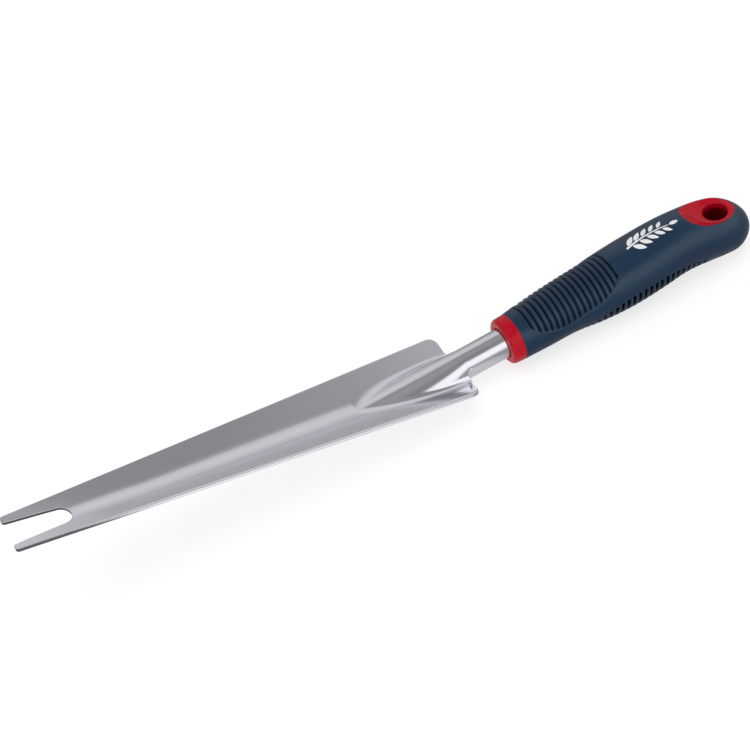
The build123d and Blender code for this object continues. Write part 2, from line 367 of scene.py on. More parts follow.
def outer_half(x):
    """Half width of the flat top surface at x, inside the rounded edges."""
    half_width, edge_height = blade_edge(x)
    return half_width - edge_round - corner_loss(tip_round, x - front_x) - corner_loss(rear_round, rear_x - x)


def fork_half(x):
    """Half width of the gap between the tines at x, rounded edges included."""
    if x >= fork_centre_x + fork_cut:
        return 0.0
    if x > fork_centre_x + fork_cut * sin(fork_lean):
        return sqrt(fork_cut**2 - (x - fork_centre_x) ** 2)
    straight = fork_root_half + fork_slope * (fork_root_x - x) + edge_round / cos(fork_lean)
    return straight + corner_loss(tip_round, x - front_x)


# Columns from the middle of the section to its edge: ridge, bend, inner part of the flange, flank.
column_counts = (14, 14, 3, 24)
tube_columns = 28               # columns round the closed tube, below the sheet
front_shares = (0.2, 0.45, 0.55)    # where the groups of columns meet on the tines
behind_fork = 20.0              # the groups take their places over this length behind the fork
before_valley = 12.0            # and the flange's inner part from this far in front of the narrow bend
least_ridge = 2.4
least_bend = 3.0
least_flange = 0.4
flank_share = 0.15
tine_step = 0.8                 # distance between sections along the tines and the front of the trough,
trough_step = 1.2               # along the plain trough,
ridge_step = 0.6                # along the ridge,
valley_step = 0.25              # where the sheet turns into the tube,
tube_step = 1.5                 # and along the tube
corner_steps = 8                # sections over one rounded corner of the plan
fork_turn_step = radians(4.5)


def spread(breaks, counts):
    """Distances from break to break, with a number of even steps in each."""
    places = [breaks[0]]
    for low, high, count in zip(breaks, breaks[1:], counts):
        places += [mix(low, high, step / count) for step in range(1, count + 1)]
    return places


def blade_breaks(x):
    """Distances where the groups of columns meet at x."""
    angle, centre_y, centre_z, radius, ridge_length, bend_length = blade_section(x)
    gap = fork_half(x)
    start = distance_at(x, gap) if gap > 0 else 0.0
    end = distance_at(x, outer_half(x))
    ridge = max(ridge_length, least_ridge)
    bend = max(ridge_length + bend_length, ridge + least_bend)
    inner = distance_at(x, flange_inner_half - edge_round)
    front_inner = mix(bend, end, flank_share)
    inner = mix(front_inner, inner, smooth(valley_end_x - before_valley, rear_x - rear_round, x))
    behind = smooth(fork_root_x, fork_root_x + behind_fork, x)
    middle = []
    for share, place in zip(front_shares, (ridge, bend, inner)):
        middle.append(mix(mix(start, end, share), place, behind))
    return [start, *middle, end]


def blade_stations():
    """Places along the blade, closer together where its outline turns."""
    quarter = [step * pi / 2 / corner_steps for step in range(corner_steps + 1)]
    root_start = fork_centre_x + fork_cut * sin(fork_lean)
    places = [front_x + tip_round * (1 - cos(turn)) for turn in quarter]
    places += even(front_x + tip_round, root_start, tine_step)
    places += [fork_centre_x + fork_cut * sin(turn) for turn in even(fork_lean, pi / 2, fork_turn_step)]
    places += even(fork_centre_x + fork_cut, full_trough_x, tine_step)
    places += even(full_trough_x, ridge_front_x, trough_step)
    places += even(ridge_front_x, rear_x - rear_round, ridge_step)
    places += [rear_x - rear_round + rear_round * sin(turn) for turn in quarter]
    return sorted(set(round(place, 5) for place in places))


def blade_surface(shell, normals):
    """Upper and outer face of the whole stamping."""

    def row(x, places, side):
        numbers = []
        for distance in places:
            y, z, normal_y, normal_z = blade_point(x, distance)
            number = shell.add((x, side * y, z))
            normals[number] = Vector((0, side * normal_y, normal_z))
            numbers.append(number)
        return numbers

    valley_x = valley_rear_x - edge_round
    tube_x = tube_front_x + edge_round
    ridge_end = tube_radius * acos(tube_front_height / tube_radius) - edge_round
    seam_end = tube_radius * pi - seam_half_gap - edge_round
    ridge_columns = column_counts[0]
    for side in (1, -1):
        trough = [row(x, spread(blade_breaks(x), column_counts), side) for x in blade_stations()]
        shell.grid(trough, flip=side < 0)

        valley = []
        for x in even(rear_x, valley_x, valley_step):
            share = (x - rear_x) / (valley_x - rear_x)
            ridge, bend = blade_breaks(x)[1:3]
            end = distance_at(x, mix(flange_inner_half, valley_rear_half, share) - edge_round)
            places = spread([0, ridge, min(bend, end - least_flange), end], column_counts[:3])
            valley.append(row(x, places, side))
        shell.grid(valley, flip=side < 0)

        neck = [valley[-1][: ridge_columns + 1]]
        ridge_start = blade_breaks(valley_x)[1]
        for x in even(valley_x, tube_x, valley_step)[1:]:
            end = mix(ridge_start, ridge_end, smooth(valley_x, tube_x, x))
            places = [end * step / ridge_columns for step in range(ridge_columns + 1)]
            neck.append([tube_point(shell, normals, x, distance, side) for distance in places])
        shell.grid(neck, flip=side < 0)

        tube = []
        for x in even(tube_x, tube_end_x, tube_step):
            places = spread([0, ridge_end, seam_end], (ridge_columns, tube_columns))
            tube.append([tube_point(shell, normals, x, distance, side) for distance in places])
        shell.grid(tube, flip=side < 0)


def tube_point(shell, normals, x, distance, side):
    """Number of a point on the rolled neck, or on the end of the ridge in front of it."""
    ridge = ridge_radius(x)
    turn = distance / ridge
    number = shell.add((x, side * ridge * sin(turn), tube_radius - ridge * (1 - cos(turn))))
    normals[number] = Vector((0, side * sin(turn), cos(turn)))
    return number


rim_steps = 3                   # faces over the rounding of a cut edge


def give_thickness(shell, normals):
    """Adds the under face of the sheet and a rounded rim along every open edge."""
    top_faces = list(shell.faces)
    edges = {}
    for corners in top_faces:
        for first, second in zip(corners, corners[1:] + corners[:1]):
            edges[(first, second)] = True
    open_edges = [edge for edge in edges if edge[::-1] not in edges]
    outward = {}
    for first, second in open_edges:
        direction = Vector(shell.points[second]) - Vector(shell.points[first])
        for corner in (first, second):
            away = direction.cross(normals[corner])
            away -= away.dot(normals[corner]) * normals[corner]
            outward[corner] = outward.get(corner, Vector()) + away.normalized()

    under = {}
    for number in range(len(shell.points)):
        point = Vector(shell.points[number]) - sheet * normals[number]
        under[number] = len(shell.points)
        shell.points.append(tuple(point))
        shell.recess.append(0.0)
    for corners in top_faces:
        shell.faces.append([under[corner] for corner in corners[::-1]])

    turns = [step * pi / 2 / rim_steps for step in range(rim_steps + 1)]
    profile = [(edge_round * sin(turn), edge_round * (1 - cos(turn))) for turn in turns[1:]]
    profile += [(out, sheet - down) for out, down in profile[::-1]]
    rims = {}
    for corner, away in outward.items():
        away = away.normalized()
        rims[corner] = [corner]
        for out, down in profile:
            point = Vector(shell.points[corner]) + out * away - down * normals[corner]
            rims[corner].append(len(shell.points))
            shell.points.append(tuple(point))
            shell.recess.append(0.0)
        rims[corner].append(under[corner])
    for first, second in open_edges:
        for step in range(len(profile) + 1):
            near, far = rims[first], rims[second]
            shell.face([far[step], near[step], near[step + 1], far[step + 1]])


def make_blade(material):
    shell = Shell()
    normals = {}
    blade_surface(shell, normals)
    give_thickness(shell, normals)
    blade = shell.piece("forked_blade", material)
    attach(blade, "root")
    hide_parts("blade")


# ================================================================ handle outside
def grip_section(x):
    """Half width, middle height and half height of the handle at x."""
    half_width, top, bottom = (along(grip_stations, x, column) for column in (1, 2, 3))
    end_share = min(max(x - cap_x, 0) / (handle_end_x - cap_x), 1.0)
    size = (1 - end_share**cap_power) ** (1 / cap_power)
    return half_width * size, (top + bottom) / 2, (top - bottom) / 2 * size


def grip_point(x, turn, section, depth=0.0):
    """Point of the handle's outside at a turn round it from the top, sunk by a depth."""
    half_width, middle, half_height = section
    normal = Vector((0, half_height * sin(turn), half_width * cos(turn)))
    if normal.length:
        normal.normalize()
    return Vector((x, half_width * sin(turn), middle + half_height * cos(turn))) - depth * normal


def oval_half(x):
    """Half width of the eyelet's oval at x."""
    share = abs(x - oval_centre_x) / oval_half_length
    power = oval_front_power if x < oval_centre_x else 2
    return oval_half_width * (1 - share**power) ** (1 / power) if share < 1 else 0.0


def under_half(x):
    """Half width of the round opening underneath at x."""
    return sqrt(under_ring_radius**2 - x**2) if abs(x) < under_ring_radius else 0.0


def pad_share(x, turn):
    """1 inside the thumb pad, 0 outside it."""
    if not pad_front_x < x < pad_rear_x:
        return 0.0
    step = 0.1
    edge = pad_radius * radians(along(pad_outline, x, 1))
    slope = (pad_radius * radians(along(pad_outline, x + step, 1)) - edge) / step
    beside = smooth(0, pad_edge, (edge - pad_radius * turn) / hypot(1, slope))
    return beside * smooth(0, pad_edge, x - pad_front_x) * smooth(0, pad_edge, pad_rear_x - x)


def rib_sink(x):
    """Depth of the ribbed pad's surface at x."""
    pitch = (rib_rear_x - rib_front_x) / (rib_count - 1)
    place = (x - rib_front_x) / pitch
    share = abs(place - round(place)) * 2
    if not -0.5 < place < rib_count - 0.5:
        return pad_sink
    across = min(max((1 - share) / (1 - rib_groove_share), 0), 1)
    return pad_sink + rib_depth * (1 - (1 - across**rib_power) ** (1 / rib_power))


def slot_sink(x, height):
    """Depth of the finger slots at x and a height."""
    pitch = (slot_rear_x - slot_front_x) / (slot_count - 1)
    place = round((x - slot_front_x) / pitch)
    if not 0 <= place < slot_count:
        return 0.0
    centre = slot_front_x + pitch * place
    bottom_half = slot_half_width - slot_wall / 2
    wall = 1 - smooth(bottom_half, bottom_half + slot_wall, abs(x - centre))
    return slot_depth * wall * smooth(0, slot_top_round, along(slot_tops, centre, 1) - height)


# Places of the sections over one rib, in pitches from the middle of its groove.
rib_places = (-0.4, -0.28, -0.2, -0.15, -0.12, -0.1, 0, 0.1, 0.12, 0.15, 0.2, 0.28, 0.4, 0.5)
# Places of the sections over one slot: its middle, its bottom, and the foot and head of its wall.
slot_places = (0.0, slot_inner_half, slot_half_width - slot_wall / 2, slot_half_width + slot_wall / 2)
parting_places = (0, 0.12, 0.25, parting_width)     # sections behind the collar
grip_step = 0.7                 # distance between the other sections
oval_turn_step = radians(4)
ring_turn_step = radians(6)
cap_turn_step = radians(3)
least_step = 0.025              # sections closer than this are merged


def grip_places():
    """Places along the grip: at every wall of a rib or slot, and close together at the openings' ends."""
    pitch = (rib_rear_x - rib_front_x) / (rib_count - 1)
    places = [collar_rear_x + place for place in parting_places]
    for rib in range(rib_count):
        places += [rib_front_x + pitch * (rib + share) for share in rib_places]
    pitch = (slot_rear_x - slot_front_x) / (slot_count - 1)
    for slot in range(slot_count):
        centre = slot_front_x + pitch * slot
        for offset in slot_places:
            places += [centre - offset, centre + offset]
    places += [oval_centre_x - oval_half_length * cos(turn) for turn in even(0, pi, oval_turn_step)]
    places += [-under_ring_radius * cos(turn) for turn in even(0, pi, ring_turn_step)]
    places += [cap_x + (handle_end_x - cap_x) * sin(turn) for turn in even(0, pi / 2, cap_turn_step)]
    places += even(collar_rear_x, cap_x, grip_step)
    kept = []
    for place in sorted(places):
        if not kept or place - kept[-1] > least_step:
            kept.append(min(place, handle_end_x))
    return kept


grip_columns = 111              # columns round one side of the grip, between the edge columns
edge_shares = (0, 0.003, 0.007, 0.012, 0.018)   # columns at the openings, as shares of the way round


def make_grip(material):
    shell = Shell()
    first, last = edge_shares[-1], 1 - edge_shares[-1]
    shares = [*edge_shares[:-1]]
    shares += [first + (last - first) * column / grip_columns for column in range(grip_columns + 1)]
    shares += [1 - share for share in edge_shares[-2::-1]]
    for side in (1, -1):
        rows, top_walls, under_walls = [], [], []
        for x in grip_places():
            section = grip_section(x)
            half_width = max(section[0], least_half_width)
            start = asin(min(oval_half(x) / half_width, 1))
            end = pi - asin(min(under_half(x) / half_width, 1))
            row = []
            for share in shares:
                turn = mix(start, end, share)
                surface = grip_point(x, turn, section)
                inside = pad_share(x, turn)
                rib = inside * rib_sink(x) if inside else 0.0
                slot = slot_sink(x, surface.z)
                depth = max(rib, slot)
                # The recess value paints shade into the rib grooves and the slots.
                recess = max(rib / rib_shade_depth, slot / slot_depth)
                edge = x - collar_rear_x
                if start > 0:
                    edge = min(edge, (turn - start) * half_width)
                if end < pi:
                    edge = min(edge, (end - turn) * half_width)
                depth += parting_depth * (1 - smooth(0, parting_width, edge))
                point = grip_point(x, turn, section, depth)
                row.append(shell.add((point.x, side * point.y, point.z), recess))
            rows.append(row)
            # The walls under the openings' edges are fully recessed and get full painted shade.
            if start > 0:
                top_walls.append([row[0], lowered(shell, row[0], -skirt)])
            if end < pi:
                under_walls.append([row[-1], lowered(shell, row[-1], skirt)])
        shell.grid(rows, flip=side < 0)
        shell.grid(top_walls, flip=side > 0)
        shell.grid(under_walls, flip=side < 0)
    grip = shell.piece("soft_grip", material)
    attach(grip, "root")
    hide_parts("grip_sleeve")


def lowered(shell, number, height):
    """Number of a point at a height above or below another, fully recessed so that it gets full painted
    shade.
    """
    x, y, z = shell.points[number]
    return shell.add((x, y, z + height), 1.0)


# ================================================================ red core
core_steps = 120                # points round the collar and round the eyelet
lip_turn_step = radians(10)
mouth_turn_step = radians(18)


def make_core(material):
    shell = Shell()
    collar_profile(shell)
    eyelet(shell)
    core = shell.piece("red_core", material)
    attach(core, "root")
    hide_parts("handle_core")


def collar_profile(shell):
    """Front collar: mouth round the neck, flat face, rounded lip and slightly tapered side."""
    profile = [
        (collar_front_x + 3 * mouth_depth, tube_radius + mouth_gap / 2),
        (collar_front_x + mouth_depth, tube_radius + mouth_gap),
    ]
    for turn in even(0, pi / 2, mouth_turn_step):
        x = collar_front_x + mouth_round * (1 - sin(turn))
        profile.append((x, mouth_radius - mouth_round * cos(turn)))
    for turn in even(0, pi / 2, lip_turn_step):
        x = collar_front_x + collar_lip * (1 - cos(turn))
        profile.append((x, collar_front_radius - collar_lip * (1 - sin(turn))))
    profile += [(collar_rear_x + behind, collar_radius - inward) for behind, inward in collar_rear_edge]
    turns = [2 * pi * step / core_steps for step in range(core_steps)]
    rows = []
    for x, radius in profile:
        rows.append([shell.add((x, radius * sin(turn), radius * cos(turn))) for turn in turns])
    shell.grid(rows, closed=True)


def surface_height(x, y, upper):
    """Height of the handle's outside over or under a plan place."""
    half_width, middle, half_height = grip_section(x)
    rise = half_height * sqrt(max(1 - (y / half_width) ** 2, 0))
    return middle + rise if upper else middle - rise


bowl_step = 0.07                # rings of the bowl, as a share of its width
rim_turn_step = radians(12)
bore_step = 2.0
under_step = 0.25


def eyelet(shell):
    """Red face round the hanging hole: bowl, rounded rim, bore, and the ring underneath."""
    rows = []
    outline = []
    for turn in [2 * pi * step / core_steps for step in range(core_steps)]:
        power = 2 / (oval_front_power if cos(turn) < 0 else 2)
        along_x = oval_half_length * abs(cos(turn)) ** power * (1 if cos(turn) > 0 else -1)
        across_y = oval_half_width * abs(sin(turn)) ** power * (1 if sin(turn) > 0 else -1)
        outline.append((oval_centre_x + along_x, across_y))
    rays = [atan2(y, x) for x, y in outline]

    def ring(place_of, height_of, recess=0.0):
        row = []
        for number, ray in enumerate(rays):
            x, y = place_of(number, ray)
            row.append(shell.add((x, y, height_of(x, y)), recess))
        return row

    def circle(radius):
        return lambda number, ray: (radius * cos(ray), radius * sin(ray))

    def edge_height(x, y):
        return surface_height(x, y, True) - parting_depth / 2

    def under_edge_height(x, y):
        return surface_height(x, y, False) + parting_depth / 2

    rows.append(ring(lambda number, ray: outline[number], lambda x, y: edge_height(x, y) - skirt))
    outer_rim = hole_radius + rim_round
    for share in even(1, 0, bowl_step):
        row = []
        for number, ray in enumerate(rays):
            edge_x, edge_y = outline[number]
            x = mix(outer_rim * cos(ray), edge_x, share)
            y = mix(outer_rim * sin(ray), edge_y, share)
            row.append(shell.add((x, y, mix(rim_height, edge_height(edge_x, edge_y), share**bowl_power))))
        rows.append(row)
    for turn in even(0, pi / 2, rim_turn_step):
        radius = outer_rim - rim_round * sin(turn)
        rows.append(ring(circle(radius), lambda x, y: rim_height - rim_round * (1 - cos(turn))))
    # Painted shade: the bore's rings darken with depth through their recess value.
    for height in even(rim_height - rim_round, under_face_height + rim_round, bore_step)[1:-1]:
        dark = smooth(0, bore_shade_depth, rim_height - rim_round - height)
        rows.append(ring(circle(hole_radius), lambda x, y: height, dark))
    for turn in even(pi / 2, 0, rim_turn_step):
        radius = outer_rim - rim_round * sin(turn)
        rows.append(ring(circle(radius), lambda x, y: under_face_height + rim_round * (1 - cos(turn))))
    rows.append(ring(circle(under_face_radius), lambda x, y: under_face_height))
    for share in even(0, 1, under_step)[1:]:
        radius = mix(under_face_radius, under_ring_radius, share)
        rise = smooth(0, 1, share)
        rows.append(ring(circle(radius), lambda x, y: mix(under_face_height, under_edge_height(x, y), rise)))
    rows.append(ring(circle(under_ring_radius), lambda x, y: surface_height(x, y, False) + skirt))
    shell.grid(rows, closed=True)


# ================================================================ print on the grip
mark_lift = 0.03
mark_front_x = -48.5
mark_rear_x = -26.0
leaf_pairs = 5
leaf_length = 6.4
leaf_width = 2.5
leaf_lean = radians(42)
leaf_shrink = 0.07              # each pair of leaves is this much smaller than the pair before
leaf_shifts = ((1, 0.35), (-1, 0.75))   # side of a leaf, and its place within a pair's stretch of stem
leaf_bluntness = 0.8            # 1 is a pointed lens, less is blunter
leaf_fullness = (1.15, 0.85)    # width at a leaf's root and tip, against the lens
leaf_gap = 0.75                 # from the stem's middle to a leaf's root
leaf_steps = 16
leaf_columns = 3                # columns on each side of a leaf's middle line
end_leaf_gap = 0.4
end_leaf_size = (0.75, 0.8)     # length and width of the leaf at the stem's end, against the others
stem_half_width = 0.42
stem_taper = (1.25, 0.55)       # width at the stem's root and end, against its mean
stem_bow = 1.1
stem_offset = -0.4
stem_step = 0.5
bare_end = 0.6                  # stretch of stem without leaves at its end, in pairs
mark_turn = radians(-2)


def mark_point(shell, x, across):
    """Number of a point of the print, lying just over the grip. Across is measured round the handle."""
    section = grip_section(x)
    turn = mark_turn + across / ((section[0] + section[2]) / 2)
    point = grip_point(x, turn, section, -mark_lift)
    return shell.add(tuple(point))


def leaf(shell, root_x, root_across, lean, length, width):
    """One pointed leaf of the print."""
    rows = []
    for step in range(leaf_steps + 1):
        place = step / leaf_steps
        half = width / 2 * sin(pi * place) ** leaf_bluntness * mix(*leaf_fullness, place)
        row = []
        for part in range(-leaf_columns, leaf_columns + 1):
            side = half * part / leaf_columns
            along_leaf = place * length
            x = root_x + along_leaf * cos(lean) - side * sin(lean)
            across = root_across + along_leaf * sin(lean) + side * cos(lean)
            row.append(mark_point(shell, x, across))
        rows.append(row)
    shell.grid(rows)


def stem_across(x):
    """Gentle bow of the stem."""
    share = (x - mark_front_x) / (mark_rear_x - mark_front_x)
    return stem_bow * sin(pi * share) + stem_offset


def make_mark(material):
    """A plain sprig of leaves in white ink, in the place of the maker's print."""
    shell = Shell()
    stem = []
    for x in even(mark_front_x, mark_rear_x, stem_step):
        half = stem_half_width * mix(*stem_taper, (x - mark_front_x) / (mark_rear_x - mark_front_x))
        stem.append([mark_point(shell, x, stem_across(x) + half * side) for side in (-1, 0, 1)])
    shell.grid(stem)
    spacing = (mark_rear_x - mark_front_x) / (leaf_pairs + bare_end)
    for pair in range(leaf_pairs):
        size = 1 - leaf_shrink * pair
        for side, shift in leaf_shifts:
            root_x = mark_front_x + spacing * (pair + shift)
            root_across = stem_across(root_x) + side * leaf_gap
            leaf(shell, root_x, root_across, side * leaf_lean, leaf_length * size, leaf_width * size)
    end_length, end_width = leaf_length * end_leaf_size[0], leaf_width * end_leaf_size[1]
    leaf(shell, mark_rear_x + end_leaf_gap, stem_across(mark_rear_x), 0, end_length, end_width)
    mark = shell.piece("grip_mark", material)
    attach(mark, "root")


# ================================================================ materials
def node_kit(name):
    """A new material with its main shader and a way to add nodes to it."""
    material = bpy.data.materials.new(name)
    material.use_nodes = True
    tree = material.node_tree
    shader = tree.nodes["Principled BSDF"]

    def add(kind, **values):
        node = tree.nodes.new(kind)
        for key, value in values.items():
            setattr(node, key, value)
        return node

    return material, tree, shader, add


def stretched_noise(tree, add, scale, detail, roughness=0.5):
    """Noise in object space with its own scale along each axis, in features per metre."""
    place = add("ShaderNodeTexCoord")
    mapping = add("ShaderNodeMapping")
    mapping.inputs["Scale"].default_value = scale
    noise = add("ShaderNodeTexNoise")
    noise.inputs["Scale"].default_value = 1.0
    noise.inputs["Detail"].default_value = detail
    noise.inputs["Roughness"].default_value = roughness
    tree.links.new(place.outputs["Object"], mapping.inputs["Vector"])
    tree.links.new(mapping.outputs["Vector"], noise.inputs["Vector"])
    return noise.outputs["Fac"]


def ranged(tree, add, value, low, high):
    """A 0 to 1 value spread to a range."""
    node = add("ShaderNodeMapRange")
    node.inputs["To Min"].default_value = low
    node.inputs["To Max"].default_value = high
    tree.links.new(value, node.inputs["Value"])
    return node.outputs["Result"]


def two_colours(tree, add, value, dark, light):
    """A colour between two, chosen by a value."""
    node = add("ShaderNodeMix", data_type="RGBA")
    node.inputs["A"].default_value = (*dark, 1)
    node.inputs["B"].default_value = (*light, 1)
    tree.links.new(value, node.inputs["Factor"])
    return node.outputs["Result"]


def bumped(tree, add, height, strength, distance_mm, under=None):
    """A bump from a height value, on top of another bump if one is given."""
    node = add("ShaderNodeBump")
    node.inputs["Strength"].default_value = strength
    node.inputs["Distance"].default_value = distance_mm * MM
    tree.links.new(height, node.inputs["Height"])
    if under:
        tree.links.new(under, node.inputs["Normal"])
    return node.outputs["Normal"]


brush_scale = (45, 2600, 2600)  # features per metre along each axis
steel_cloud_scale = (35, 90, 90)


def steel(name, dark, light, roughness):
    """Polished stainless sheet with fine brushing along the tool."""
    material, tree, shader, add = node_kit(name)
    brushing = stretched_noise(tree, add, brush_scale, 5, 0.65)
    cloud = stretched_noise(tree, add, steel_cloud_scale, 3)
    colour = two_colours(tree, add, cloud, dark, light)
    shader.inputs["Metallic"].default_value = 1.0
    tree.links.new(colour, shader.inputs["Base Color"])
    tree.links.new(ranged(tree, add, brushing, *roughness), shader.inputs["Roughness"])
    soft = bumped(tree, add, cloud, 0.12, 0.05)
    tree.links.new(bumped(tree, add, brushing, 0.10, 0.006, soft), shader.inputs["Normal"])
    return material


painted_shade_start = 0.12             # painted shade in recesses starts from this recess value
painted_shade_full = 0.5               # and is at its full painted shade from here


def moulded(name, dark, light, roughness, shine, grain, relief, painted_shade_colour=None, tint=(1, 1, 1)):
    """Moulded plastic or rubber with a fine surface grain. Deep recesses get painted shade: a darker colour
    and no shine.
    """
    material, tree, shader, add = node_kit(name)
    shader.inputs["Specular IOR Level"].default_value = shine
    shader.inputs["Specular Tint"].default_value = (*tint, 1)
    cloud = stretched_noise(tree, add, (60, 60, 60), 4)
    fine = stretched_noise(tree, add, (grain, grain, grain), 3, 0.6)
    colour = two_colours(tree, add, cloud, dark, light)
    # Painted shade: the recess attribute darkens deep recesses towards the painted shade colour.
    if painted_shade_colour:
        depth = add("ShaderNodeAttribute", attribute_name="recess")
        deep = add("ShaderNodeMapRange", interpolation_type="SMOOTHSTEP")
        deep.inputs["From Min"].default_value = painted_shade_start
        deep.inputs["From Max"].default_value = painted_shade_full
        shade = add("ShaderNodeMix", data_type="RGBA")
        shade.inputs["B"].default_value = (*painted_shade_colour, 1)
        tree.links.new(depth.outputs["Fac"], deep.inputs["Value"])
        tree.links.new(deep.outputs["Result"], shade.inputs["Factor"])
        tree.links.new(colour, shade.inputs["A"])
        colour = shade.outputs["Result"]
        # Painted shade also takes the shine out of deep recesses.
        dulled = ranged(tree, add, deep.outputs["Result"], shine, 0.0)
        tree.links.new(dulled, shader.inputs["Specular IOR Level"])
    tree.links.new(colour, shader.inputs["Base Color"])
    tree.links.new(ranged(tree, add, fine, *roughness), shader.inputs["Roughness"])
    tree.links.new(bumped(tree, add, fine, relief, 0.03), shader.inputs["Normal"])
    return material


# ================================================================ studio
floor_half = 4000               # half the floor's side


def make_floor():
    """Pale floor under the lowest point of the tool."""
    low = cad_low.z / MM
    mesh = bpy.data.meshes.new("floor")
    corners = [(floor_half * x, floor_half * y, low) for x, y in ((-1, -1), (1, -1), (1, 1), (-1, 1))]
    mesh.from_pydata([tuple(value * MM for value in corner) for corner in corners], [], [(0, 1, 2, 3)])
    floor = bpy.data.objects.new("floor", mesh)
    bpy.context.scene.collection.objects.link(floor)
    mesh.materials.append(floor_material())


floor_glow = 0.70
floor_white = 0.36
floor_vary = 0.01               # the white varies this much, so that the floor isn't one flat colour
# What the steel mirrors of the table: brightness at places across it, in metres from the tool's middle plane.
table_mirror = [
    (-0.60, 0.50), (-0.47, 0.50), (-0.42, 1.10), (-0.15, 1.15), (-0.09, 0.84), (-0.03, 0.66),
    (0.01, 0.64), (0.03, 0.90), (0.06, 0.86), (0.13, 0.50), (0.60, 0.46),
]
table_reach = 0.7               # the ramp spans the table this far to each side
tip_shade = 0.16                # the table is dark in front of the tines
tip_shade_x = (-0.315, -0.262)
handle_shade = 0.45             # and a painted shadow under the handle, in what mirrors see of the table
handle_shade_x = (-0.122, -0.104)


def floor_material():
    """White table that glows a little, so that shadows stay faint. Mirrors see it as a light tent's table,
    with a painted shadow under the handle.
    """
    material, tree, shader, add = node_kit("floor_white")
    cloud = stretched_noise(tree, add, (3, 3, 3), 2)
    white = two_colours(tree, add, cloud, (floor_white - floor_vary,) * 3, (floor_white + floor_vary,) * 3)
    tree.links.new(white, shader.inputs["Base Color"])
    shader.inputs["Roughness"].default_value = 0.9
    shader.inputs["Specular IOR Level"].default_value = 0.1
    shader.inputs["Emission Color"].default_value = (1, 1, 1, 1)
    shader.inputs["Emission Strength"].default_value = floor_glow

    place = add("ShaderNodeTexCoord")
    parts = add("ShaderNodeSeparateXYZ")
    across = add("ShaderNodeMapRange")
    across.inputs["From Min"].default_value = -table_reach
    across.inputs["From Max"].default_value = table_reach
    curve = add("ShaderNodeValToRGB")
    set_ramp(curve, [((y + table_reach) / (2 * table_reach), value) for y, value in table_mirror])
    tip = add("ShaderNodeMapRange", interpolation_type="SMOOTHSTEP")
    tip.inputs["From Min"].default_value, tip.inputs["From Max"].default_value = tip_shade_x
    tip.inputs["To Min"].default_value = tip_shade
    # Painted shadow under the handle, darkening the table that mirrors see.
    grip = add("ShaderNodeMapRange", interpolation_type="SMOOTHSTEP")
    grip.inputs["From Min"].default_value, grip.inputs["From Max"].default_value = handle_shade_x
    grip.inputs["To Min"].default_value = 1.0
    grip.inputs["To Max"].default_value = handle_shade
    shades = add("ShaderNodeMath", operation="MULTIPLY")
    shaded = add("ShaderNodeMath", operation="MULTIPLY")
    mirrored = add("ShaderNodeEmission")
    path = add("ShaderNodeLightPath")
    either = add("ShaderNodeMixShader")
    tree.links.new(place.outputs["Object"], parts.inputs["Vector"])
    tree.links.new(parts.outputs["Y"], across.inputs["Value"])
    tree.links.new(across.outputs["Result"], curve.inputs["Fac"])
    tree.links.new(parts.outputs["X"], tip.inputs["Value"])
    tree.links.new(curve.outputs["Color"], shaded.inputs[0])
    tree.links.new(parts.outputs["X"], grip.inputs["Value"])
    tree.links.new(tip.outputs["Result"], shades.inputs[0])
    tree.links.new(grip.outputs["Result"], shades.inputs[1])
    tree.links.new(shades.outputs["Value"], shaded.inputs[1])
    tree.links.new(shaded.outputs["Value"], mirrored.inputs["Color"])
    tree.links.new(path.outputs["Is Glossy Ray"], either.inputs["Fac"])
    tree.links.new(shader.outputs["BSDF"], either.inputs[1])
    tree.links.new(mirrored.outputs["Emission"], either.inputs[2])
    tree.links.new(either.outputs["Shader"], tree.nodes["Material Output"].inputs["Surface"])
    return material


def set_ramp(curve, stops):
    """Grey stops of a colour ramp."""
    ramp = curve.color_ramp
    ramp.interpolation = "EASE"
    while len(ramp.elements) < len(stops):
        ramp.elements.new(0.5)
    for element, (position, value) in zip(ramp.elements, stops):
        element.position = position
        element.color = (value, value, value, 1)


# Brightness of the studio by height: sine of the elevation, then the value on the near and on the far side.
near_studio = [
    (-1.0, 0.60), (0.0, 0.30), (0.03, 0.42), (0.08, 0.90), (0.14, 1.00), (0.33, 1.20), (0.52, 1.25),
    (0.67, 1.15), (0.71, 1.02), (0.76, 0.55), (0.79, 0.36), (0.83, 0.30), (0.90, 0.28), (0.96, 0.33),
    (1.0, 0.40),
]
far_studio = [
    (-1.0, 0.60), (0.0, 0.46), (0.08, 0.48), (0.28, 0.58), (0.46, 0.68), (0.63, 0.76),
    (0.77, 0.70), (0.80, 0.63), (0.83, 0.45), (0.85, 0.40), (0.88, 0.33), (0.93, 0.37), (1.0, 0.42),
]


side_blend = 0.35               # the near and far side of the studio melt together over this share
backdrop_white = (0.97, 0.97, 0.97, 1)


